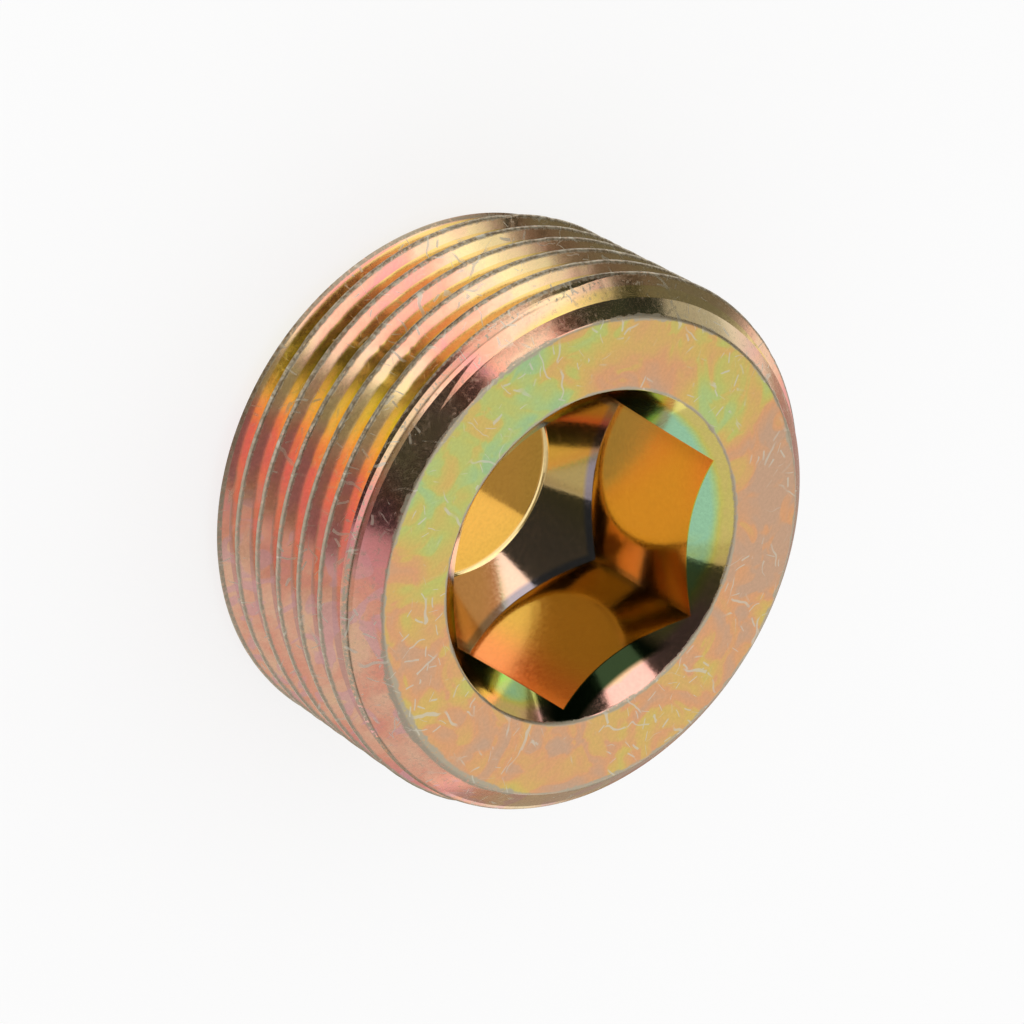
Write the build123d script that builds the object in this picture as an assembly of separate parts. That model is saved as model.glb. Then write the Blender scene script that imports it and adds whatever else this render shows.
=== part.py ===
from build123d import *
import math
import os

# Hex socket taper pipe plug: one piece of steel, forged, turned and threaded.
# The plug stands on its small end at z = 0 and its axis is +Z. The socket
# opens upwards in the large end, with two of its six corners on the Y axis.

# ---- Driving dimensions, in millimetres and degrees --------------------------
plug_length = 16.0               # small end face to large end face

thread_diameter = 33.7           # over the crests, beside the large end chamfer
diameter_taper = 1 / 16          # growth of that diameter for each mm of length
thread_pitch = 25.4 / 11.5       # 11.5 threads to the inch
thread_angle = 60.0              # between the two flanks of a groove
crest_flat = 0.16                # width of the land left on each crest
thread_start = -69.0             # azimuth at which a groove crosses the small end

large_end_chamfer = 2.03         # 45 degree lead into the thread
small_end_chamfer = 1.6          # 45 degree lead into the thread
end_rim = 0.15                   # edge break between the chamfer and the end face

socket_across_flats = 17.0
socket_mouth_diameter = 20.8     # countersink where it meets the large end face
countersink_angle = 90.0         # included angle of the socket's lead-in
mouth_rim = 0.15                 # edge break on the countersink's rim
socket_depth = 13.55             # large end face to the flat floor
floor_diameter = 12.7            # flat floor at the bottom of the socket
floor_cone_angle = 90.0          # included angle of the cone around the floor

# ---- Sizes that follow from them ---------------------------------------------
large_crest_height = plug_length - large_end_chamfer
taper_half_angle = math.atan(diameter_taper / 2)
half_flank = math.radians(thread_angle / 2)
thread_depth = (thread_pitch - crest_flat) / (2 * math.tan(half_flank))
floor_height = plug_length - socket_depth


def crest_radius(height):
    """Radius over the thread crests at this height."""
    return (thread_diameter - (large_crest_height - height) * diameter_taper) / 2


def cone_rise(included_angle, radius):
    """Height that a cone of this included angle gains over this radius."""
    return radius / math.tan(math.radians(included_angle / 2))


def turned_blank():
    """The tapered body with a chamfer at both ends, not yet threaded."""
    large_radius = crest_radius(large_crest_height)
    small_radius = crest_radius(small_end_chamfer)
    with BuildPart() as blank:
        with BuildSketch(Plane.XZ):
            with BuildLine():
                Polyline(
                    (0, 0),
                    (small_radius - small_end_chamfer, 0),
                    (small_radius, small_end_chamfer),
                    (large_radius, large_crest_height),
                    (large_radius - large_end_chamfer, plug_length),
                    (0, plug_length),
                    close=True,
                )
            make_face()
        revolve(axis=Axis.Z)
        chamfer(blank.edges().filter_by(GeomType.CIRCLE).group_by(Axis.Z)[-1], end_rim)
    return blank.part


def socket_punch():
    """The hexagon with a coned nose and flat tip that forms the socket."""
    floor_radius = floor_diameter / 2
    shank_top = plug_length + mouth_rim
    nose_top = floor_height + cone_rise(floor_cone_angle, socket_across_flats)
    with BuildPart() as punch:
        with BuildSketch(Plane.XZ):
            with BuildLine():
                Polyline(
                    (0, floor_height),
                    (floor_radius, floor_height),
                    (floor_radius + socket_across_flats, nose_top),
                    (0, nose_top),
                    close=True,
                )
            make_face()
        revolve(axis=Axis.Z)
        with BuildSketch(Plane.XY.offset(floor_height)):
            RegularPolygon(socket_across_flats / 2, 6, major_radius=False, rotation=30)
        extrude(amount=shank_top - floor_height, mode=Mode.INTERSECT)
    return punch.part


def countersink():
    """The cone that leads into the socket from the large end."""
    mouth_radius = socket_mouth_diameter / 2
    depth = cone_rise(countersink_angle, mouth_radius)
    return Pos(0, 0, plug_length - depth / 2) * Cone(0, mouth_radius, depth)


def groove_section(height):
    """Corners of the V groove's section, as radius and height, centred on this height."""
    overcut = crest_flat / 4 / math.tan(half_flank)
    outer_half = (thread_pitch - crest_flat / 2) / 2
    corners = [(0, -thread_depth), (-outer_half, overcut), (outer_half, overcut)]
    return [(crest_radius(height + rise) + proud, height + rise) for rise, proud in corners]


def groove_turn(height):
    """One right-hand turn of the V groove, from this height up by one pitch."""
    helices = [
        Helix(
            pitch=thread_pitch / math.cos(taper_half_angle),
            height=thread_pitch,
            radius=radius,
            center=(0, 0, start),
            cone_angle=math.degrees(taper_half_angle),
        )
        for radius, start in groove_section(height)
    ]
    walls = [
        Face.make_surface_from_curves(helix, following)
        for helix, following in zip(helices, helices[1:] + helices[:1])
    ]
    ends = [
        Face(Wire.make_polygon([(radius, 0, rise) for radius, rise in groove_section(end)]))
        for end in (height, height + thread_pitch)
    ]
    return Solid(Shell(walls + ends))


def threaded(body):
    """The body with its tapered thread, the groove cut one turn at a time."""
    first_height = -thread_pitch * (1 + thread_start / 360)
    last_height = plug_length + thread_pitch / 2
    for turn in range(math.ceil((last_height - first_height) / thread_pitch)):
        body = body - groove_turn(first_height + turn * thread_pitch)
    return body


def plug_body():
    """The whole plug."""
    body = turned_blank() - socket_punch() - countersink()
    rims = body.edges().filter_by(GeomType.CIRCLE).group_by(Axis.Z)[-1]
    body = chamfer(rims.sort_by(SortBy.RADIUS)[0], mouth_rim)
    return threaded(body)


os.makedirs("parts", exist_ok=True)
export_step(plug_body(), "parts/plug_body.step")
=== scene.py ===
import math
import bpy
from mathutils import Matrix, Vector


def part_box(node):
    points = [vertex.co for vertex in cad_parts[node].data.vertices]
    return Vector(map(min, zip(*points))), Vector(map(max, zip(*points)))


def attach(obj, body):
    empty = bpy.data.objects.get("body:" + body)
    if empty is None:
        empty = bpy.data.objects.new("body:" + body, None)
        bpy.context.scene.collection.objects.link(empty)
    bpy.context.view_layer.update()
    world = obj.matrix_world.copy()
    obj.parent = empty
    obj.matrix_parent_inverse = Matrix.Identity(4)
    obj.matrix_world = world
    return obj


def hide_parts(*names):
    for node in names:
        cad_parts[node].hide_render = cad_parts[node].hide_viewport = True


bl_info = {
    "name": "Taper Pipe Plug",
    "version": (1, 0, 0),
    "blender": (4, 5, 0),
    "location": "View3D > Sidebar > Plug",
    "description": "Builds a yellow plated hex socket pipe plug around its CAD frame, with a small studio",
    "category": "Object",
}

from types import SimpleNamespace

import bmesh
import bpy
from bpy.props import FloatProperty, FloatVectorProperty, IntProperty, PointerProperty
from mathutils import Matrix, Vector, noise

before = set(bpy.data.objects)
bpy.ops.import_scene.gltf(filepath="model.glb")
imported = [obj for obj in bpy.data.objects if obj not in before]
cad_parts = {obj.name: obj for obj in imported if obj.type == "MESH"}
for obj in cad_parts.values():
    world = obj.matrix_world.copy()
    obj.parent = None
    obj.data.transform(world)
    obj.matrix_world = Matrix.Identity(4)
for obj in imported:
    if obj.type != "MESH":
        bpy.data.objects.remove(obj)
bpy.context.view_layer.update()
LOW_CORNER, HIGH_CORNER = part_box("plug_body")
MM = 1000.0    # millimetres in a metre: the plug is modelled in mm, then scaled to the frame


# ---- What a user would change ---------------------------------------------------


class PlugSizes(bpy.types.PropertyGroup):
    """Sizes of the plug, the same as those of its CAD node."""

    length: FloatProperty(
        name="Length", description="Small end face to large end face",
        default=HIGH_CORNER.z - LOW_CORNER.z, unit="LENGTH")
    crest_diameter: FloatProperty(
        name="Crest diameter", description="Over the crests beside the large end chamfer",
        default=33.7 / MM, unit="LENGTH")
    taper: FloatProperty(
        name="Taper", description="Growth of the diameter over the length", default=1 / 16)
    pitch: FloatProperty(
        name="Pitch", description="Distance from crest to crest, at 11.5 threads to the inch",
        default=25.4 / 11.5 / MM, unit="LENGTH")
    flank_angle: FloatProperty(
        name="Thread angle", description="Between the two flanks of a groove",
        default=math.radians(60), subtype="ANGLE")
    crest_round: FloatProperty(
        name="Crest round", description="Worn rounding of each crest",
        default=0.2 / MM, unit="LENGTH")
    vanish: FloatProperty(
        name="Vanish", description="Share of the groove's depth lost in its last turn",
        default=0.25, subtype="FACTOR")
    start_azimuth: FloatProperty(
        name="Thread start", description="Where a groove crosses the small end face",
        default=math.radians(-69), subtype="ANGLE")
    large_chamfer: FloatProperty(
        name="Large end chamfer", description="45 degree lead at the large end",
        default=2.03 / MM, unit="LENGTH")
    ridge_setback: FloatProperty(
        name="Ridge setback", description="Large end face to the ridge rolled on its chamfer",
        default=1.27 / MM, unit="LENGTH")
    small_chamfer: FloatProperty(
        name="Small end chamfer", description="45 degree lead at the small end",
        default=1.6 / MM, unit="LENGTH")
    rim_round: FloatProperty(
        name="Rim round", description="Worn rounding of the large end's two rims",
        default=0.32 / MM, unit="LENGTH")
    across_flats: FloatProperty(
        name="Across flats", description="Width of the hex socket",
        default=17.0 / MM, unit="LENGTH")
    mouth_diameter: FloatProperty(
        name="Mouth diameter", description="Countersink at the large end face",
        default=20.8 / MM, unit="LENGTH")
    socket_depth: FloatProperty(
        name="Socket depth", description="Large end face to the flat floor",
        default=13.55 / MM, unit="LENGTH")
    floor_diameter: FloatProperty(
        name="Floor diameter", description="Flat floor of the socket",
        default=12.7 / MM, unit="LENGTH")
    floor_round: FloatProperty(
        name="Floor round", description="Blend between the floor and its cone",
        default=0.6 / MM, unit="LENGTH")
    facets: IntProperty(
        name="Facets", description="Steps in one turn of the thread and rims", default=360)


def colour(name, description, default):
    """A property that the sidebar shows as a colour swatch."""
    return FloatVectorProperty(
        name=name, description=description, default=default, subtype="COLOR", min=0.0, max=1.0)


class PlugColours(bpy.types.PropertyGroup):
    """Colours of the plate's film, zone by zone, of the metal worn through it, and of painted shade and
    painted reflections.
    """

    root_brown: colour("Root brown", "Thread roots, rosiest end", (0.72, 0.42, 0.33))
    root_salmon: colour("Root salmon", "Thread roots", (0.92, 0.40, 0.29))
    root_orange: colour("Root orange", "Thread roots", (0.98, 0.60, 0.19))
    root_yellow: colour("Root yellow", "Thread roots", (0.84, 0.68, 0.15))
    root_gold: colour("Root gold", "Thread roots, yellowest end", (0.92, 0.62, 0.22))
    face_tan: colour("Face tan", "Large end face, thinnest film", (0.60, 0.38, 0.25))
    face_apricot: colour("Face apricot", "Large end face", (0.74, 0.38, 0.19))
    face_gold: colour("Face gold", "Large end face", (0.70, 0.48, 0.15))
    face_lime: colour("Face yellow green", "Large end face", (0.57, 0.56, 0.16))
    face_green: colour("Face green", "Large end face", (0.46, 0.59, 0.23))
    face_teal: colour("Face teal", "Large end face, thickest film", (0.38, 0.56, 0.28))
    thread_rose: colour("Thread rose", "Flanks and chamfers, thinnest film", (0.84, 0.33, 0.31))
    thread_salmon: colour("Thread salmon", "Flanks and chamfers", (0.93, 0.42, 0.28))
    thread_peach: colour("Thread peach", "Flanks and chamfers", (0.95, 0.58, 0.38))
    thread_straw: colour("Thread straw", "Flanks and chamfers, thickest film", (0.93, 0.72, 0.36))
    thread_olive: colour("Thread olive", "Duller stretches of the thread", (0.78, 0.70, 0.42))
    thread_mauve: colour("Thread mauve", "Cooler stretches of the thread", (0.80, 0.46, 0.46))
    lead_peach: colour("Lead-in peach", "Socket's lead-in, thinnest film", (0.95, 0.50, 0.40))
    lead_gold: colour("Lead-in gold", "Socket's lead-in", (0.90, 0.66, 0.24))
    lead_lime: colour("Lead-in yellow green", "Socket's lead-in", (0.78, 0.74, 0.17))
    lead_green: colour("Lead-in green", "Socket's lead-in", (0.56, 0.82, 0.32))
    lead_teal: colour("Lead-in teal", "Socket's lead-in, thickest film", (0.44, 0.82, 0.50))
    # painted dark reflection: near black on the lead-in beside the hex flats on one side
    painted_dark_reflection: colour("Dark reflection", "Film that pooled on the lead-in", (0.03, 0.05, 0.02))
    flat_gold: colour("Flat gold", "Hex flats near the mouth", (0.70, 0.50, 0.19))
    deep_gold: colour("Deep gold", "Hex flats and cone deep down", (0.64, 0.48, 0.17))
    ember: colour("Ember", "Redder film on the hex flats", (0.84, 0.32, 0.24))
    cone_peach: colour("Cone peach", "Rosier side of the cone", (0.94, 0.62, 0.44))
    # painted reflection along the cone's edge, in place of a fillet between the cone and the flats
    cone_edge_reflection: colour("Cone edge", "Cone along the hex flats", (0.42, 0.36, 0.38))
    floor_gold: colour("Floor gold", "Flat floor of the socket", (1.00, 0.76, 0.35))
    worn: colour("Worn", "Rubbed crests and rims", (0.48, 0.42, 0.31))
    # dark specks along the crests, and painted shade in the ridge's fine groove
    specks_and_groove_shade: colour("Specks and groove shade", "Dark specks and the ridge's fine groove", (0.25, 0.19, 0.12))
    scratch: colour("Scratch", "Short strokes through the film", (0.66, 0.62, 0.50))


class PlugStudio(bpy.types.PropertyGroup):
    """Camera and floor of the small studio."""

    camera_aim: FloatVectorProperty(
        name="Camera aim", description="Point in the middle of the picture",
        default=(0.153 / MM, 0.094 / MM, 8.0 / MM), subtype="XYZ", unit="LENGTH")
    camera_distance: FloatProperty(
        name="Camera distance", description="From the aim point",
        default=556.32 / MM, unit="LENGTH")
    camera_elevation: FloatProperty(
        name="Camera elevation", description="Above the floor",
        default=math.radians(47.22), subtype="ANGLE")
    camera_roll: FloatProperty(
        name="Camera roll", description="Turn about the line of sight",
        default=math.radians(121.04), subtype="ANGLE")
    lens: FloatProperty(
        name="Lens", description="Focal length", default=333.27, unit="CAMERA")
    floor_colour: colour("Floor", "Pale floor under the plug", (0.9, 0.9, 0.9))


def in_mm(sizes):
    """The same sizes with each length in millimetres."""
    values = {}
    for name in PlugSizes.__annotations__:
        is_length = sizes.bl_rna.properties[name].unit == "LENGTH"
        values[name] = getattr(sizes, name) * (MM if is_length else 1)
    return SimpleNamespace(**values)


# ---- Mesh tools -----------------------------------------------------------------


def mesh_object(bm, name):
    """A new object in the scene from this bmesh, with its faces smooth."""
    bmesh.ops.recalc_face_normals(bm, faces=bm.faces)
    for face in bm.faces:
        face.smooth = True
    mesh = bpy.data.meshes.new(name)
    bm.to_mesh(mesh)
    bm.free()
    piece = bpy.data.objects.new(name, mesh)
    bpy.context.scene.collection.objects.link(piece)
    return piece


def chain(bm, outline):
    """Vertices at these radii and heights in the XZ half plane, joined by edges."""
    verts = [bm.verts.new((radius, 0, height)) for radius, height in outline]
    edges = [bm.edges.new(pair) for pair in zip(verts, verts[1:])]
    return verts + edges


def spun(name, outline, facets):
    """A closed solid of revolution from an outline that starts and ends on the axis."""
    bm = bmesh.new()
    bmesh.ops.spin(
        bm, geom=chain(bm, outline), cent=(0, 0, 0), axis=(0, 0, 1), dvec=(0, 0, 0),
        angle=math.tau, steps=facets, use_merge=True, use_duplicate=False)
    bmesh.ops.remove_doubles(bm, verts=bm.verts, dist=1e-5)
    return mesh_object(bm, name)


def arc(centre, radius, first, last, steps=10):
    """Points of an arc in the outline's plane, with its angles in degrees."""
    angles = (first + (last - first) * step / steps for step in range(steps + 1))
    return [
        (centre[0] + radius * math.cos(math.radians(angle)),
         centre[1] + radius * math.sin(math.radians(angle)))
        for angle in angles
    ]


def smooth(value, low, high):
    """0 at low and 1 at high, with a soft start and end."""
    share = min(max((value - low) / (high - low), 0.0), 1.0)
    return share * share * (3 - 2 * share)


def combine(piece, tool, operation):
    """The boolean of two closed pieces, kept in the first. The second is used up."""
    modifier = piece.modifiers.new(operation.title(), "BOOLEAN")
    modifier.operation = operation
    modifier.object = tool
    modifier.solver = "EXACT"
    graph = bpy.context.evaluated_depsgraph_get()
    result = bpy.data.meshes.new_from_object(piece.evaluated_get(graph))
    piece.modifiers.clear()
    old_mesh = piece.data
    piece.data = result
    bpy.data.meshes.remove(old_mesh)
    bpy.data.objects.remove(tool)
    return piece


# ---- The plug's shape -----------------------------------------------------------

HALF_BEVEL = math.tan(math.radians(22.5))    # from a 45 degree corner to its round, over the radius
# out and down from the start of the ridge in mm: a lip, a fine groove and a steeper lip
RIDGE = ((0, 0), (0.22, 0.14), (0.21, 0.20), (0.27, 0.23), (0.44, 0.50))
WORN_DEPTH = 0.20       # mm below the crest that wear and knocks reach
CREST_ANGLES = (75, 60, 45, 30)    # where the worn round of a crest has its points
FIRST_TURN = -3         # the screw starts this many turns below the small end
SPARE_TURNS = 5
SEAM_GAP = 0.0005       # mm between vertices that the booleans left double
SHARP_ANGLE = math.radians(6)      # edges that turn more than this stay crisp
BOX_SLACK = 0.03        # share of its CAD box that the body may reach past it


def turned_envelope(sizes):
    """What lies inside both chamfers, the end faces and the countersink."""
    top = sizes.length
    reach = 1.0
    crest = sizes.crest_diameter / 2
    face_radius = crest - sizes.large_chamfer
    small_crest = crest - (top - sizes.large_chamfer - sizes.small_chamfer) * sizes.taper / 2
    base_radius = small_crest - sizes.small_chamfer
    mouth_radius = sizes.mouth_diameter / 2
    inner_radius = sizes.across_flats / 2 - reach
    inner_height = top - mouth_radius + inner_radius
    tangent = sizes.rim_round * HALF_BEVEL
    rim_height = top - sizes.rim_round
    outline = [(0, inner_height), (inner_radius, inner_height)]
    outline += arc((mouth_radius + tangent, rim_height), sizes.rim_round, 135, 90)
    outline += arc((face_radius - tangent, rim_height), sizes.rim_round, 90, 45)
    outline += [
        (face_radius + sizes.ridge_setback + out, top - sizes.ridge_setback - down)
        for out, down in RIDGE
    ]
    ridge_end, ridge_foot = outline[-1]
    rest = crest + reach - ridge_end
    outline += [
        (crest + reach, ridge_foot - rest),
        (crest + reach, sizes.small_chamfer + reach),
        (base_radius, 0),
        (0, 0),
    ]
    return spun("envelope", outline, sizes.facets)


def thread_section(sizes):
    """One pitch of the thread from crest to crest: heights, and radii below the crest."""
    half = sizes.flank_angle / 2
    crest_round = sizes.crest_round
    depth = (sizes.pitch / 2) / math.tan(half) - crest_round / math.sin(half) + crest_round
    side = [
        (crest_round * math.cos(math.radians(angle)),
         crest_round * (math.sin(math.radians(angle)) - 1))
        for angle in CREST_ANGLES
    ]
    rise, fall = side[-1]
    side.append((rise + (WORN_DEPTH + fall) * math.tan(half), -WORN_DEPTH))
    root = [(sizes.pitch / 2 - 0.08, -depth + 0.16), (sizes.pitch / 2, -depth + 0.09)]
    rising = [(sizes.pitch - rise, fall) for rise, fall in reversed(side + root[:1])]
    return [(0.0, 0.0)] + side + root + rising


def thread_screw(sizes):
    """A long tapered screw whose crests and grooves run past both ends of the plug."""
    crest = sizes.crest_diameter / 2
    section = thread_section(sizes)
    first_crest = sizes.pitch * (0.5 - sizes.start_azimuth / math.tau + FIRST_TURN)
    turns = math.ceil(sizes.length / sizes.pitch) + SPARE_TURNS
    outline = [
        (crest + proud, first_crest + turn * sizes.pitch + rise)
        for turn in range(turns) for rise, proud in section
    ]
    bm = bmesh.new()
    bmesh.ops.spin(
        bm, geom=chain(bm, outline), cent=(0, 0, 0), axis=(0, 0, 1),
        dvec=(0, 0, sizes.pitch / sizes.facets), angle=math.tau, steps=sizes.facets,
        use_merge=False, use_duplicate=False)
    bmesh.ops.remove_doubles(bm, verts=bm.verts, dist=0.005)
    taper_and_wear(bm, sizes)
    close_ends(bm)
    return mesh_object(bm, "screw")


def taper_and_wear(bm, sizes):
    """Move each vertex of a straight screw in or out for the taper, the vanish and the wear."""
    crest = sizes.crest_diameter / 2
    gauge = sizes.length - sizes.large_chamfer
    for vert in bm.verts:
        radius = math.hypot(vert.co.x, vert.co.y)
        depth = crest - radius
        vanish = smooth(vert.co.z, gauge + 0.35, gauge + 1.65) * sizes.vanish
        worn = nick(vert.co) * smooth(depth, WORN_DEPTH - 0.01, 0.0)
        grown = crest - depth * (1 - vanish) - worn + (vert.co.z - gauge) * sizes.taper / 2
        vert.co.x *= grown / radius
        vert.co.y *= grown / radius


def nick(place):
    """How far a knock or wear has taken the crest in here, in mm."""
    wander = 0.012 * noise.noise(place * 0.5)
    small = max(noise.noise(place * 0.9 + Vector((7, 0, 0))) - 0.25, 0.0)
    return max(wander, 0.0) + 0.12 * small


def close_ends(bm):
    """Each open end of the screw is closed by a fan to a point on the axis."""
    middle = sum(vert.co.z for vert in bm.verts) / len(bm.verts)
    open_edges = [edge for edge in bm.edges if edge.is_boundary]
    for sign in (-1, 1):
        rim = [edge for edge in open_edges if (edge.verts[0].co.z - middle) * sign > 0]
        level = sum(edge.verts[0].co.z for edge in rim) / len(rim)
        made = bmesh.ops.extrude_edge_only(bm, edges=rim)["geom"]
        tip = [element for element in made if isinstance(element, bmesh.types.BMVert)]
        bmesh.ops.pointmerge(bm, verts=tip, merge_co=(0, 0, level + sign * 2))


def hex_punch(sizes):
    """The hexagon with its coned nose that leaves the socket."""
    top = sizes.length
    floor = top - sizes.socket_depth
    reach = 2.0
    overhang = 8.0
    below = 0.5    # the hexagon starts this far under the floor, and the nose trims it
    flat_radius = sizes.floor_diameter / 2
    tangent = sizes.floor_round * HALF_BEVEL
    outline = [(0, floor)]
    outline += arc((flat_radius - tangent, floor + sizes.floor_round), sizes.floor_round, -90, -45)
    outline += [(flat_radius + overhang, floor + overhang),
                (flat_radius + overhang, top + reach), (0, top + reach)]
    nose = spun("nose", outline, sizes.facets)
    corner_radius = sizes.across_flats / math.sqrt(3)
    bm = bmesh.new()
    bmesh.ops.create_cone(
        bm, cap_ends=True, cap_tris=False, segments=6,
        radius1=corner_radius, radius2=corner_radius, depth=sizes.socket_depth + reach)
    bmesh.ops.translate(bm, verts=bm.verts, vec=(0, 0, (floor + top + reach) / 2 - below))
    return combine(mesh_object(bm, "hexagon"), nose, "INTERSECT")


def seal(body):
    """Merge what the booleans left double, and raise an error if the body stays open."""
    bm = bmesh.new()
    bm.from_mesh(body.data)
    bmesh.ops.remove_doubles(bm, verts=bm.verts, dist=SEAM_GAP)
    closed = all(edge.is_manifold for edge in bm.edges)
    bm.to_mesh(body.data)
    bm.free()
    if not closed:
        raise RuntimeError("the plug's body isn't closed")


def check_box(body):
    """Raise an error if the body, in metres, reaches out of its CAD box."""
    slack = (HIGH_CORNER - LOW_CORNER) * BOX_SLACK
    for axis in range(3):
        reach = [vert.co[axis] for vert in body.data.vertices]
        low, high = LOW_CORNER[axis] - slack[axis], HIGH_CORNER[axis] + slack[axis]
        if min(reach) < low or max(reach) > high:
            raise RuntimeError(f"the plug's body leaves its CAD box along {'XYZ'[axis]}")


class PLUG_OT_body(bpy.types.Operator):
    """Model the threaded and plated body of the plug"""

    bl_idname = "plug.body"
    bl_label = "Plug Body"

    def execute(self, context):
        sizes = in_mm(context.scene.plug_sizes)
        body = combine(turned_envelope(sizes), thread_screw(sizes), "INTERSECT")
        body = combine(body, hex_punch(sizes), "DIFFERENCE")
        seal(body)
        body.name = body.data.name = "plated_plug"
        body.data.transform(Matrix.Scale(1 / MM, 4))
        check_box(body)
        body.data.materials.clear()
        body.data.materials.append(plated_steel(sizes, context.scene.plug_colours))
        body.data.set_sharp_from_angle(angle=SHARP_ANGLE)
        normals = body.modifiers.new("Weighted Normal", "WEIGHTED_NORMAL")
        normals.keep_sharp = True
        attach(body, "root")
        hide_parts("plug_body")
        return {"FINISHED"}


# ---- The plate ------------------------------------------------------------------


class Nodes:
    """Short ways to add and join nodes in one material."""

    def __init__(self, tree):
        self.tree = tree

    def add(self, kind, inputs=(), **settings):
        """A node of this kind, with its inputs set to values or joined to sockets."""
        node = self.tree.nodes.new("ShaderNode" + kind)
        for name, value in settings.items():
            setattr(node, name, value)
        for key, value in dict(inputs).items():
            if isinstance(value, bpy.types.NodeSocket):
                self.join(value, node.inputs[key])
            else:
                node.inputs[key].default_value = value
        return node

    def join(self, output, socket):
        """A link from an output to an input."""
        self.tree.links.new(output, socket)

    def math(self, operation, first, second=0.0):
        """One sum of two numbers."""
        return self.add("Math", {0: first, 1: second}, operation=operation).outputs[0]

    def total(self, first, *others):
        """All of these added up."""
        for other in others:
            first = self.math("ADD", first, other)
        return first

    def product(self, first, *others):
        """All of these multiplied."""
        for other in others:
            first = self.math("MULTIPLY", first, other)
        return first

    def most(self, first, *others):
        """The highest of these."""
        for other in others:
            first = self.math("MAXIMUM", first, other)
        return first

    def step(self, value, low, high, to_low=0.0, to_high=1.0):
        """A smooth rise from one level to another between two values."""
        inputs = {"Value": value, "From Min": low, "From Max": high,
                  "To Min": to_low, "To Max": to_high}
        return self.add("MapRange", inputs, interpolation_type="SMOOTHSTEP").outputs[0]

    def noise(self, place, scale, detail=2.0, roughness=0.5, distortion=0.0):
        """Noise from 0 to 1, with this many patches to the millimetre."""
        inputs = {"Vector": place, "Scale": scale, "Detail": detail,
                  "Roughness": roughness, "Distortion": distortion}
        return self.add("TexNoise", inputs).outputs["Fac"]

    def vector(self, operation, inputs, output=0):
        """One step of vector arithmetic."""
        return self.add("VectorMath", inputs, operation=operation).outputs[output]

    def blend(self, factor, first, second):
        """Between two numbers."""
        return self.add("Mix", {0: factor, 2: first, 3: second}, data_type="FLOAT").outputs[0]

    def tint(self, factor, first, second):
        """Between two colours."""
        return self.add("Mix", {0: factor, 6: first, 7: second}, data_type="RGBA").outputs[2]

    def ramp(self, value, stops):
        """Through the colours of these stops, each a position and a colour."""
        node = self.add("ValToRGB", {0: value})
        elements = node.color_ramp.elements
        elements[0].position, elements[1].position = stops[0][0], stops[-1][0]
        for position, _ in stops[1:-1]:
            elements.new(position)
        for element, (position, colour) in zip(elements, stops):
            element.position = position
            element.color = (*colour, 1)
        return node.outputs["Color"]


class PlugPlaces:
    """Where a point is on the plug, in mm, and sockets that rise from 0 to 1 in each zone."""

    def __init__(self, nodes, sizes):
        self.nodes = nodes
        metres = nodes.add("TexCoord").outputs["Object"]
        self.place = nodes.vector("SCALE", {0: metres, 3: MM})
        self.x, self.y, self.height = nodes.add("SeparateXYZ", {0: self.place}).outputs
        self.over = nodes.add("CombineXYZ", {0: self.x, 1: self.y}).outputs[0]
        self.radius = nodes.vector("LENGTH", {0: self.over}, "Value")
        self.top = sizes.length
        self.flat = sizes.across_flats / 2
        self.mouth = sizes.mouth_diameter / 2
        self.face_edge = sizes.crest_diameter / 2 - sizes.large_chamfer
        length = sizes.length - sizes.large_chamfer - sizes.small_chamfer
        self.base = (sizes.crest_diameter - length * sizes.taper) / 2 - sizes.small_chamfer

        # the large end face, the socket and its lead-in, cone and floor
        floor = self.top - sizes.socket_depth
        nose = floor - sizes.floor_diameter / 2
        lead = self.top - self.mouth
        rise = nodes.math("SUBTRACT", self.height, self.radius)
        self.face = nodes.step(self.height, self.top - 0.05, self.top - 0.01)
        self.socket = nodes.step(self.radius, self.mouth + 0.02, self.mouth - 0.05)
        self.lead = nodes.step(rise, lead - 0.12, lead - 0.05)
        self.cone = nodes.step(rise, nose + 0.12, nose + 0.05)
        self.floor = nodes.step(self.height, floor + 0.2, floor + 0.1)

        # how far out of the tapered crests, and whether on the thread at all
        below = nodes.math("SUBTRACT", self.top - sizes.large_chamfer, self.height)
        fall = nodes.product(below, sizes.taper / 2)
        crest_radius = nodes.math("SUBTRACT", sizes.crest_diameter / 2, fall)
        self.proud = nodes.math("SUBTRACT", self.radius, crest_radius)
        slope = nodes.total(self.radius, self.height)
        chamfer = self.face_edge + self.top
        self.thread = nodes.step(slope, chamfer - 0.12, chamfer - 0.3)

        # distance from the axis square to the nearest hex flat
        aside = nodes.math("ABSOLUTE", self.x)
        slant = nodes.total(
            nodes.product(aside, 0.5),
            nodes.product(nodes.math("ABSOLUTE", self.y), math.sqrt(3) / 2))
        self.across = nodes.most(aside, slant)

    def spots(self, spots):
        """The shares of these spots on the large end, each falling to 0 at its reach in mm."""
        return self.patches(self.place, self.top, spots)

    def sides(self, sides):
        """The same along lines that run the plug's whole length over these places."""
        return self.patches(self.over, 0.0, sides)

    def patches(self, place, height, patches):
        """Each patch has its x and y, its reach, and its share in the middle."""
        shares = []
        for x, y, reach, share in patches:
            away = self.nodes.vector("DISTANCE", {0: place, 1: (x, y, height)}, "Value")
            near = self.nodes.step(away, reach, 0.2 * reach)
            shares.append(self.nodes.product(near, share))
        return self.nodes.total(*shares)

    def rim(self, radius, width, setback=0.0):
        """1 on the ring of this radius, this far below the large end face."""
        out = self.nodes.math("SUBTRACT", self.radius, radius)
        down = self.nodes.math("SUBTRACT", self.height, self.top - setback)
        away = self.nodes.add("CombineXYZ", {0: out, 1: down}).outputs[0]
        away = self.nodes.vector("LENGTH", {0: away}, "Value")
        return self.nodes.step(self.nodes.math("SUBTRACT", away, width), 0.08, -0.08)


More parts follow.
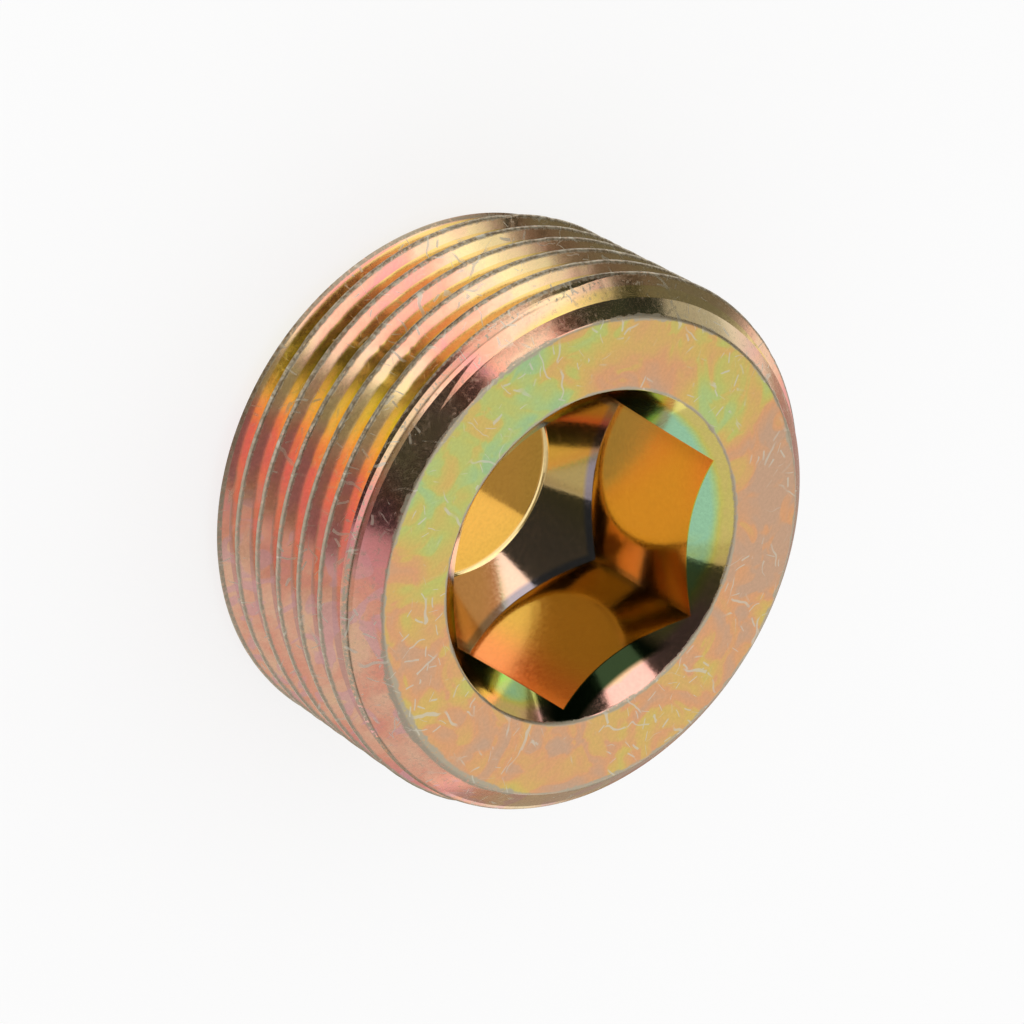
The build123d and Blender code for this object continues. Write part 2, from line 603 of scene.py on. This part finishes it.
# each film's colours, and where they stand between its thinnest and its thickest
ROOT_FILM = {
    "root_brown": 0.00, "root_salmon": 0.25, "root_orange": 0.50,
    "root_yellow": 0.75, "root_gold": 1.00}
FACE_FILM = {
    "face_tan": 0.00, "face_apricot": 0.22, "face_gold": 0.45,
    "face_lime": 0.65, "face_green": 0.85, "face_teal": 1.00}
THREAD_FILM = {
    "thread_rose": 0.00, "thread_salmon": 0.30, "thread_peach": 0.60, "thread_straw": 1.00}
LEAD_FILM = {
    "lead_peach": 0.00, "lead_gold": 0.35, "lead_lime": 0.60,
    "lead_green": 0.80, "lead_teal": 1.00}
# x and y, reach, and what it adds to the film or the wear in the middle
FACE_SPOTS = ((-3, -14.5, 15, 0.48), (-12, 2.5, 6, 0.35), (-9, 12, 9, -0.25))
THREAD_SIDES = ((-1, -16.8, 6, 0.5), (-13, -10.5, 5, 0.4), (4.5, -16.2, 4, -0.5))
OLIVE_SIDES = ((-15, -2, 8, 0.8), (13, 9, 9, 0.6))
RUBBED_SPOTS = ((13.5, -4, 10, 0.25),)
SCRATCHED_SPOTS = ((10, -6.5, 8, 0.2), (6, 12, 5, 0.2))


class Plating:
    """Zinc plate under a yellow chromate, whose thin film shimmers from rose to green."""

    def __init__(self, nodes, at, colours):
        self.nodes = nodes
        self.at = at
        self.colours = colours
        # mottling, from broad to fine
        self.patches = nodes.noise(at.place, 0.13, 2.0, 0.5, 0.5)
        self.drift = nodes.noise(at.place, 0.30, 2.0, 0.45, 1.6)
        self.blotches = nodes.noise(at.place, 0.42, 4.0, 0.6, 1.0)
        self.speckle = nodes.noise(at.place, 3.2, 4.0, 0.75)
        self.grain = nodes.noise(at.place, 5.0, 3.0, 0.65)
        self.uneven = nodes.math("SUBTRACT", self.blotches, 0.5)

    def swatch(self, name):
        """One of the plate's colours, for a node's socket."""
        return (*getattr(self.colours, name), 1)

    def film(self, thickness, stops):
        """The colour of a film of this thickness, from 0 to 1."""
        stops = [(position, getattr(self.colours, name)) for name, position in stops.items()]
        return self.nodes.ramp(thickness, stops)

    def face(self):
        """Large end face, greener towards one side."""
        nodes = self.nodes
        drift = nodes.math("SUBTRACT", self.drift, 0.5)
        thickness = nodes.total(
            nodes.step(self.patches, 0.34, 0.66, 0.12, 0.46),
            self.at.spots(FACE_SPOTS),
            nodes.product(drift, 0.6),
            nodes.step(self.drift, 0.47, 0.53, -0.06, 0.06),
            nodes.product(self.uneven, 0.12))
        return self.film(thickness, FACE_FILM)

    def outside(self):
        """Thread and chamfers: golden and rosy stretches, stronger in the roots."""
        nodes, at = self.nodes, self.at
        thickness = nodes.total(
            nodes.step(self.patches, 0.32, 0.68, 0.1, 0.6),
            at.sides(THREAD_SIDES),
            nodes.product(self.uneven, 0.8))
        flanks = self.film(thickness, THREAD_FILM)
        thickness = nodes.total(nodes.step(at.x, 10.0, -7.0), nodes.product(self.uneven, 0.5))
        roots = self.film(thickness, ROOT_FILM)
        in_root = nodes.product(nodes.step(at.proud, -0.64, -0.70), at.thread)
        colour = nodes.tint(in_root, flanks, roots)
        colour = nodes.tint(at.sides(OLIVE_SIDES), colour, self.swatch("thread_olive"))
        cool = nodes.product(nodes.step(self.drift, 0.53, 0.58), nodes.step(at.x, 5.0, 9.0), 0.6)
        return nodes.tint(cool, colour, self.swatch("thread_mauve"))

    def lead_in(self):
        """Countersink, from peach to teal across it, with a painted dark reflection near the hex flats on
        one side.
        """
        nodes, at = self.nodes, self.at
        thickness = nodes.total(
            nodes.step(at.x, 4.0, -6.0, 0.0, 0.8),
            nodes.step(at.radius, 10.0, 9.2, -0.3, 0.25),
            nodes.product(nodes.step(at.y, 5.0, 1.0), nodes.step(at.x, 4.0, 8.0), 0.7),
            nodes.product(self.uneven, 0.3))
        # painted dark reflection, near black beside the hex flats on one side
        dark_patch = nodes.product(nodes.step(at.across, at.flat + 1.0, at.flat + 0.7),
                             nodes.step(at.y, 2.5, 4.5), nodes.step(at.x, 1.5, 3.0))
        return nodes.tint(dark_patch, self.film(thickness, LEAD_FILM), self.swatch("painted_dark_reflection"))

    def flats(self):
        """Hex flats, redder at the mouth and in one corner."""
        nodes, at = self.nodes, self.at
        gold = nodes.tint(nodes.step(at.height, at.top - 7.0, at.top - 10.5),
                          self.swatch("flat_gold"), self.swatch("deep_gold"))
        corner = nodes.product(nodes.step(at.x, 5.0, 7.5), nodes.step(at.y, 2.0, 4.5))
        red = nodes.most(nodes.step(at.height, at.top - 4.2, at.top + 0.5), corner)
        red = nodes.product(red, nodes.step(at.y, 7.5, 4.9), 0.8)
        return nodes.tint(red, gold, self.swatch("ember"))

    def cone(self):
        """Cone at the bottom, with a cooler painted reflection where it meets the flats, in place of a
        fillet that the mesh doesn't have.
        """
        nodes, at = self.nodes, self.at
        cone = nodes.tint(nodes.step(at.x, -3.5, 1.0),
                          self.swatch("deep_gold"), self.swatch("cone_peach"))
        # painted reflection of a fillet along the flats
        edge = nodes.step(at.across, at.flat - 0.45, at.flat - 0.2)
        return nodes.tint(edge, cone, self.swatch("cone_edge_reflection"))

    def whole(self):
        """The film all over the plug, with a fine grain, and painted reflections in the socket."""
        nodes, at = self.nodes, self.at
        socket = nodes.tint(at.cone, self.flats(), self.cone())
        socket = nodes.tint(at.floor, socket, self.swatch("floor_gold"))
        socket = nodes.tint(at.lead, socket, self.lead_in())
        colour = nodes.tint(at.face, self.outside(), self.face())
        colour = nodes.tint(at.socket, colour, socket)
        shade = nodes.step(self.grain, 0.25, 0.75, 0.92, 1.04)
        return nodes.vector("SCALE", {0: colour, 3: shade})

    def rubbed(self, sizes):
        """1 where crests, rims, the ridge and the chamfers are rubbed grey."""
        nodes, at = self.nodes, self.at
        proud = nodes.total(at.proud, nodes.product(self.speckle, 0.25))
        crests = nodes.step(proud, -0.10, 0.03)
        width = nodes.total(nodes.step(self.blotches, 0.4, 0.75, 0.06, 0.3),
                            at.spots(RUBBED_SPOTS))
        outer_rim = at.rim(at.face_edge, width)
        mouth_rim = at.rim(at.mouth, nodes.step(self.blotches, 0.35, 0.7, 0.06, 0.2))
        lips = at.rim(at.face_edge + sizes.ridge_setback + 0.3, 0.22, sizes.ridge_setback + 0.32)
        flecks = nodes.total(self.speckle, nodes.step(at.x, 3.0, 8.0, 0.0, 0.12))
        lips = nodes.product(lips, nodes.step(flecks, 0.52, 0.64))
        rise = nodes.math("SUBTRACT", at.height, at.radius)
        small_end = nodes.product(nodes.step(rise, 0.25 - at.base, 0.12 - at.base),
                                  nodes.step(at.height, 0.9, 1.1))
        chamfer = nodes.math("SUBTRACT", nodes.step(at.height, at.top - 2.2, at.top - 2.0), at.face)
        scuffs = nodes.product(nodes.step(self.speckle, 0.52, 0.66, 0.0, 0.4), chamfer)
        scuffs = nodes.math("SUBTRACT", scuffs, at.socket)
        rubbed = nodes.most(crests, outer_rim, mouth_rim, lips, small_end, scuffs)
        return nodes.product(rubbed, nodes.step(self.grain, 0.3, 0.5, 0.45, 1.0))

    def worn(self):
        """Bare metal, with dark specks along the crests."""
        nodes, at = self.nodes, self.at
        specks = nodes.product(
            nodes.step(at.proud, -0.4, -0.3), nodes.step(at.x, 7.0, 1.0, 0.3, 1.0),
            nodes.step(self.speckle, 0.58, 0.42))
        return nodes.tint(specks, self.swatch("worn"), self.swatch("specks_and_groove_shade"))

    def ridge_groove_shade(self, sizes):
        """1 in the fine groove of the ridge, where shade is painted in as a dark line."""
        out, down = RIDGE[2]
        width = self.nodes.step(self.blotches, 0.3, 0.6, 0.02, 0.07)
        line = self.at.rim(self.at.face_edge + sizes.ridge_setback + out, width,
                           sizes.ridge_setback + down)
        return self.nodes.product(line, 0.8)

    def scratched(self):
        """1 on short pale strokes, strewn unevenly outside the socket."""
        nodes, at = self.nodes, self.at
        strewn = nodes.total(nodes.noise(at.place, 0.3, 2.0, 0.6), at.spots(SCRATCHED_SPOTS))
        strokes = nodes.most(strokes_in(nodes, at.place, 0.6, 0.70, 0.07, 0.6),
                             strokes_in(nodes, at.place, 1.4, 0.55, 0.10, 0.5))
        outside = nodes.math("SUBTRACT", 1.0, at.socket)
        return nodes.product(strokes, nodes.step(strewn, 0.45, 0.58), outside, 0.7)


def strokes_in(nodes, place, spread, length, width, share):
    """1 on one straight stroke in this share of a pattern of cells, each at its own angle."""
    scaled = nodes.vector("SCALE", {0: place, 3: spread})
    bend = nodes.add("TexNoise", {"Vector": place, "Scale": 0.9, "Detail": 1.0}).outputs["Color"]
    bend = nodes.vector("SCALE", {0: bend, 3: 0.5})
    scaled = nodes.vector("ADD", {0: scaled, 1: bend})
    cells = nodes.add("TexVoronoi", {"Vector": scaled, "Scale": 1.0}, voronoi_dimensions="3D")
    chance, turn, wide = nodes.add("SeparateXYZ", {0: cells.outputs["Color"]}).outputs
    away = nodes.vector("SUBTRACT", {0: scaled, 1: cells.outputs["Position"]})
    away = nodes.add("VectorRotate", {"Vector": away, "Angle": nodes.product(turn, math.pi)},
                     rotation_type="Z_AXIS").outputs[0]
    along, across, _ = nodes.add("SeparateXYZ", {0: away}).outputs
    along, across = nodes.math("ABSOLUTE", along), nodes.math("ABSOLUTE", across)
    aside = nodes.math("SUBTRACT", across, nodes.product(wide, width))
    return nodes.product(
        nodes.step(aside, 0.01, -0.02), nodes.step(along, length, 0.6 * length),
        nodes.step(chance, 1 - share, 1 - share + 0.02))


def plated_steel(sizes, colours):
    """The plug's one material: film, wear, scratches, painted shade and reflections, and a slight relief.
    """
    material = bpy.data.materials.new("yellow_chromate")
    material.use_nodes = True
    nodes = Nodes(material.node_tree)
    shader = material.node_tree.nodes["Principled BSDF"]
    at = PlugPlaces(nodes, sizes)
    plating = Plating(nodes, at, colours)
    rubbed = plating.rubbed(sizes)
    scratched = plating.scratched()

    colour = nodes.tint(rubbed, plating.whole(), plating.worn())
    # painted shade: the ridge's fine groove is darkened with the dark swatch
    colour = nodes.tint(plating.ridge_groove_shade(sizes), colour, plating.swatch("specks_and_groove_shade"))
    colour = nodes.tint(scratched, colour, plating.swatch("scratch"))
    nodes.join(colour, shader.inputs["Base Color"])
    shader.inputs["Metallic"].default_value = 1.0

    # duller on the face, brightest in the socket, dull where rubbed or scratched
    rough = nodes.blend(at.face, 0.13, 0.30)
    rough = nodes.blend(at.socket, rough, 0.07)
    rough = nodes.blend(nodes.most(rubbed, scratched), rough, 0.38)
    rough = nodes.total(rough, nodes.step(plating.grain, 0.3, 0.8, 0.0, 0.06))
    nodes.join(rough, shader.inputs["Roughness"])

    relief = nodes.total(nodes.product(plating.grain, 0.3), plating.uneven)
    bump = nodes.add("Bump", {"Height": relief, "Strength": 0.12, "Distance": 0.02 / MM})
    nodes.join(bump.outputs[0], shader.inputs["Normal"])
    return material


# ---- The studio -----------------------------------------------------------------

MAT_LIFT = 0.05    # mm between the floor and a card that lies on it
FLOOR_SIZE = 3.0   # metres from the middle of the floor to its edge
FLOOR_GLOW = 0.75  # share of the floor that the camera and reflections see as white
CARDS = (
    # name, azimuth, elevation, width, height, roll in degrees, glow, distance in metres
    ("camera_flag", -3, 46, 58, 26, 0, (0.035, 0.040, 0.036), 0.6),
    ("upper_flag", 28, 69, 34, 22, 0, (0.26, 0.23, 0.19), 0.6),
    ("left_softbox", -67, 44, 42, 56, 0, (1.35, 1.32, 1.32), 0.7),
    ("left_low_flag", -94, 18, 37, 34, 0, (0.02, 0.03, 0.02), 0.6),
    ("left_rail", -66, 31, 44, 2.6, 20, (0.10, 0.07, 0.05), 0.6),
    ("left_low_card", -128, 3, 32, 18, 0, (0.50, 0.48, 0.42), 0.8),
    ("left_back_flag", -136, 34, 44, 44, 0, (0.18, 0.16, 0.12), 0.9),
    ("right_front_card", 59, 49, 30, 16, 0, (0.52, 0.48, 0.46), 0.7),
    ("right_card", 85, 35, 100, 80, 0, (0.66, 0.64, 0.66), 0.9),
)
FLOOR_CARDS = (
    # name, azimuth in degrees, near end, far end and width in mm, glow
    ("front_mat", -23, 25, 130, 32, (0.045, 0.05, 0.03)),
    ("back_mat", 150, 22, 220, 150, (0.42, 0.37, 0.30)),
)


def toward(azimuth, elevation):
    """Direction at this azimuth from the camera's side and this elevation, in degrees."""
    azimuth, elevation = math.radians(azimuth), math.radians(elevation)
    return Vector((
        math.sin(azimuth) * math.cos(elevation),
        -math.cos(azimuth) * math.cos(elevation),
        math.sin(elevation)))


def sheet(name, width, tall, place, material):
    """A flat stage piece of this size, in metres."""
    bm = bmesh.new()
    bmesh.ops.create_grid(bm, x_segments=1, y_segments=1, size=0.5)
    bmesh.ops.scale(bm, vec=(width, tall, 1), verts=bm.verts)
    bmesh.ops.transform(bm, matrix=place, verts=bm.verts)
    mesh = bpy.data.meshes.new(name)
    bm.to_mesh(mesh)
    bm.free()
    mesh.materials.append(material)
    piece = bpy.data.objects.new(name, mesh)
    bpy.context.scene.collection.objects.link(piece)
    return piece


def glowing_card(name, width, tall, place, glow):
    """A card that only reflections see."""
    material = bpy.data.materials.new(name)
    material.use_nodes = True
    nodes = Nodes(material.node_tree)
    emission = nodes.add("Emission", {"Color": (*glow, 1), "Strength": 1.0})
    nodes.join(emission.outputs[0], material.node_tree.nodes["Material Output"].inputs["Surface"])
    piece = sheet(name, width, tall, place, material)
    piece.visible_camera = False
    piece.visible_diffuse = False
    piece.visible_shadow = False


def hang_card(aim, name, azimuth, elevation, width, tall, roll, glow, distance):
    """A card in the air that faces the aim point, its width and height as angles."""
    direction = toward(azimuth, elevation)
    turn = direction.to_track_quat("Z", "Y").to_matrix().to_4x4()
    place = Matrix.Translation(aim + direction * distance) @ turn
    place = place @ Matrix.Rotation(math.radians(roll), 4, "Z")
    size = [2 * distance * math.tan(math.radians(angle / 2)) for angle in (width, tall)]
    glowing_card(name, *size, place, glow)


def lay_card(name, azimuth, near, far, width, glow):
    """A card that lies on the floor and points at the plug."""
    middle = toward(azimuth, 0) * (near + far) / 2 + Vector((0, 0, MAT_LIFT))
    place = Matrix.Translation(middle / MM) @ Matrix.Rotation(math.radians(azimuth), 4, "Z")
    glowing_card(name, width / MM, (far - near) / MM, place, glow)


def white_surround():
    """A world that is white all round and lights the plug softly."""
    world = bpy.data.worlds.new("studio_light")
    world.use_nodes = True
    background = world.node_tree.nodes["Background"]
    background.inputs["Color"].default_value = (1, 1, 1, 1)
    background.inputs["Strength"].default_value = 1.0
    return world


def pale_floor(colour):
    """A matt floor that keeps the plug's shadow and is near white in the picture."""
    material = bpy.data.materials.new("pale_floor")
    material.use_nodes = True
    nodes = Nodes(material.node_tree)
    shader = material.node_tree.nodes["Principled BSDF"]
    shader.inputs["Base Color"].default_value = (*colour, 1)
    shader.inputs["Roughness"].default_value = 0.9
    shader.inputs["Specular IOR Level"].default_value = 0.0
    path = nodes.add("LightPath").outputs
    seen = nodes.most(path["Is Camera Ray"], path["Is Glossy Ray"], path["Is Transmission Ray"])
    white = nodes.add("Emission", {"Color": (1, 1, 1, 1), "Strength": 1.0})
    share = nodes.product(seen, FLOOR_GLOW)
    surface = nodes.add("MixShader", {0: share, 1: shader.outputs[0], 2: white.outputs[0]})
    nodes.join(surface.outputs[0], material.node_tree.nodes["Material Output"].inputs["Surface"])
    sheet("floor", 2 * FLOOR_SIZE, 2 * FLOOR_SIZE, Matrix(), material)


def studio_camera(studio):
    """A long lens that looks down at the aim point, rolled about its line of sight."""
    data = bpy.data.cameras.new("camera")
    data.sensor_width = 36
    data.lens = studio.lens
    data.clip_start = 0.01
    data.clip_end = 10
    back = toward(0, math.degrees(studio.camera_elevation))
    turn = (-back).to_track_quat("-Z", "Y").to_matrix().to_4x4()
    roll = Matrix.Rotation(studio.camera_roll, 4, "Z")
    place = Matrix.Translation(studio.camera_aim + back * studio.camera_distance)
    camera = bpy.data.objects.new("camera", data)
    camera.matrix_world = place @ turn @ roll
    bpy.context.scene.collection.objects.link(camera)
    return camera


class PLUG_OT_studio(bpy.types.Operator):
    """Set the plug on a pale floor with soft light and a camera"""

    bl_idname = "plug.studio"
    bl_label = "Studio"

    def execute(self, context):
        scene = context.scene
        studio = scene.plug_studio
        scene.view_settings.view_transform = "Standard"
        scene.world = white_surround()
        pale_floor(studio.floor_colour)
        for card in CARDS:
            hang_card(studio.camera_aim, *card)
        for card in FLOOR_CARDS:
            lay_card(*card)
        scene.camera = studio_camera(studio)
        return {"FINISHED"}


# ---- The sidebar and the run ----------------------------------------------------


class PLUG_PT_panel(bpy.types.Panel):
    """Sizes, colours and steps of the plug"""

    bl_label = "Pipe Plug"
    bl_space_type = "VIEW_3D"
    bl_region_type = "UI"
    bl_category = "Plug"

    def draw(self, context):
        scene = context.scene
        for title, group in (("Sizes", scene.plug_sizes), ("Colours", scene.plug_colours),
                             ("Studio", scene.plug_studio)):
            box = self.layout.box()
            box.label(text=title)
            for name in group.__annotations__:
                box.prop(group, name)
        for step in (PLUG_OT_body, PLUG_OT_studio):
            self.layout.operator(step.bl_idname)


CLASSES = (PlugSizes, PlugColours, PlugStudio, PLUG_OT_body, PLUG_OT_studio, PLUG_PT_panel)


def register():
    """Add the plug's properties, steps and panel."""
    for cls in CLASSES:
        bpy.utils.register_class(cls)
    bpy.types.Scene.plug_sizes = PointerProperty(type=PlugSizes)
    bpy.types.Scene.plug_colours = PointerProperty(type=PlugColours)
    bpy.types.Scene.plug_studio = PointerProperty(type=PlugStudio)


def unregister():
    """Take them out again."""
    del bpy.types.Scene.plug_studio
    del bpy.types.Scene.plug_colours
    del bpy.types.Scene.plug_sizes
    for cls in reversed(CLASSES):
        bpy.utils.unregister_class(cls)


def main():
    """Build the plug and its studio."""
    register()
    bpy.ops.plug.body()
    bpy.ops.plug.studio()


if __name__ == "__main__":
    main()
